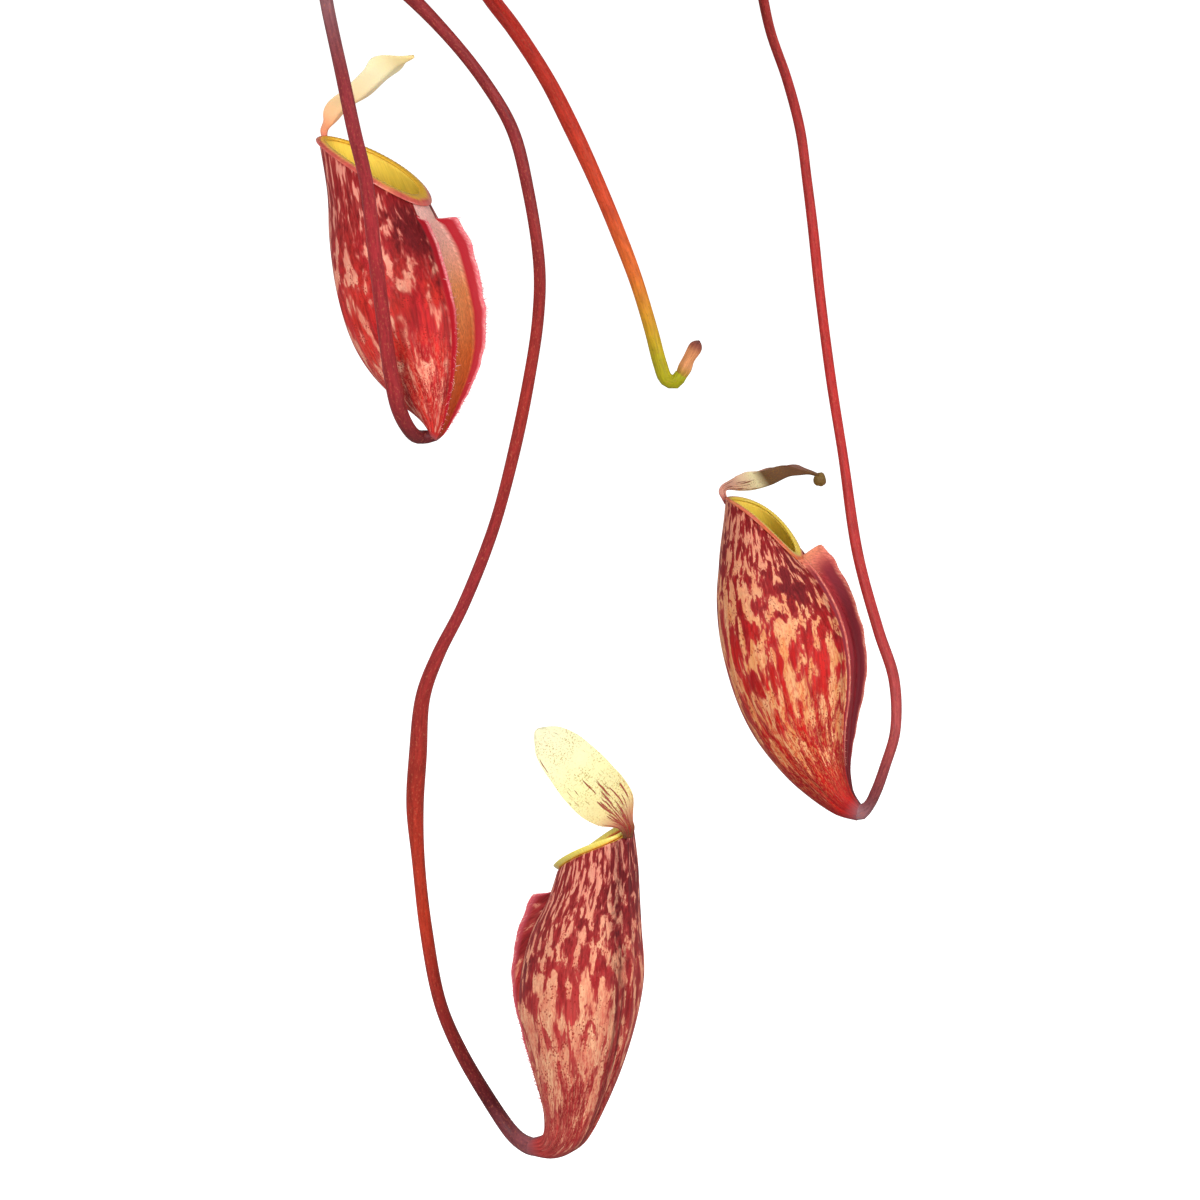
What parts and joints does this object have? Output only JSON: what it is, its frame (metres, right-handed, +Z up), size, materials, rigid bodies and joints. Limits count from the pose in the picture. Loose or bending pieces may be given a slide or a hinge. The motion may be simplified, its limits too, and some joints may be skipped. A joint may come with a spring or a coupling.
{
  "type": "hanging pitcher plant",
  "caption": "Hanging pitcher plant in a slatted wooden basket on wires: arching leaves whose long tendrils end in speckled, lidded, hollow pitchers and a hooked bud.",
  "frame": {"origin": "on the inside of the hook's upper bight, at its highest point, where a ceiling hook carries it", "axes": "+Z up, +X to the viewer's right and -Y towards the viewer who faces the pitchers"},
  "size_m": [0.2753, 0.2538, 0.7091],
  "materials": {
    "basket_wood": "weathered unpainted cedar, fine straight grain, satin",
    "galvanised_wire": "galvanised steel wire, dull zinc",
    "moss": "long-fibred sphagnum moss, damp and matte",
    "stem": "green woody stem with brown leaf scars",
    "leaf_blade": "living leaf, waxy green with a paler midrib",
    "tendril_skin": "living tendril, dark red, smooth with fine mottling",
    "bud_skin": "unopened pitcher, tan orange, soft down",
    "pitcher_wall": "living pitcher wall, crimson with cream blotches, satin",
    "pitcher_lip": "rolled ribbed lip, yellow to orange, glossy",
    "pitcher_lid": "thin cream lid with maroon flecks, satin"
  },
  "bodies": {
    "root": {"slat_front_1": "basket_wood", "slat_back_1": "basket_wood", "slat_right_2": "basket_wood", "slat_left_2": "basket_wood", "slat_front_3": "basket_wood", "slat_back_3": "basket_wood", "slat_right_4": "basket_wood", "slat_left_4": "basket_wood", "slat_front_5": "basket_wood", "slat_back_5": "basket_wood", "slat_right_6": "basket_wood", "slat_left_6": "basket_wood", "floor_slat_1": "basket_wood", "floor_slat_2": "basket_wood", "floor_slat_3": "basket_wood", "floor_slat_4": "basket_wood", "floor_slat_5": "basket_wood", "hook": "galvanised_wire", "wire_front_left": "galvanised_wire", "wire_back_left": "galvanised_wire", "wire_front_right": "galvanised_wire", "wire_back_right": "galvanised_wire", "moss": "moss", "stem": "stem", "leaf_1": "leaf_blade", "leaf_2": "leaf_blade", "leaf_3": "leaf_blade", "leaf_4": "leaf_blade", "leaf_5": "leaf_blade", "leaf_6": "leaf_blade", "leaf_7": "leaf_blade", "leaf_8": "leaf_blade", "leaf_9": "leaf_blade", "leaf_10": "leaf_blade", "tendril_1": "tendril_skin", "tendril_2": "tendril_skin", "tendril_3": "tendril_skin", "tendril_4": "tendril_skin", "tendril_5": "tendril_skin", "tendril_6": "tendril_skin", "tendril_7": "tendril_skin", "tendril_8": "tendril_skin", "bud": "bud_skin", "left_pitcher_cup": "pitcher_wall", "left_pitcher_rim": "pitcher_lip", "left_pitcher_lid": "pitcher_lid", "right_pitcher_cup": "pitcher_wall", "right_pitcher_rim": "pitcher_lip", "right_pitcher_lid": "pitcher_lid", "low_pitcher_cup": "pitcher_wall", "low_pitcher_rim": "pitcher_lip", "low_pitcher_lid": "pitcher_lid"}
  },
  "joints": []
}
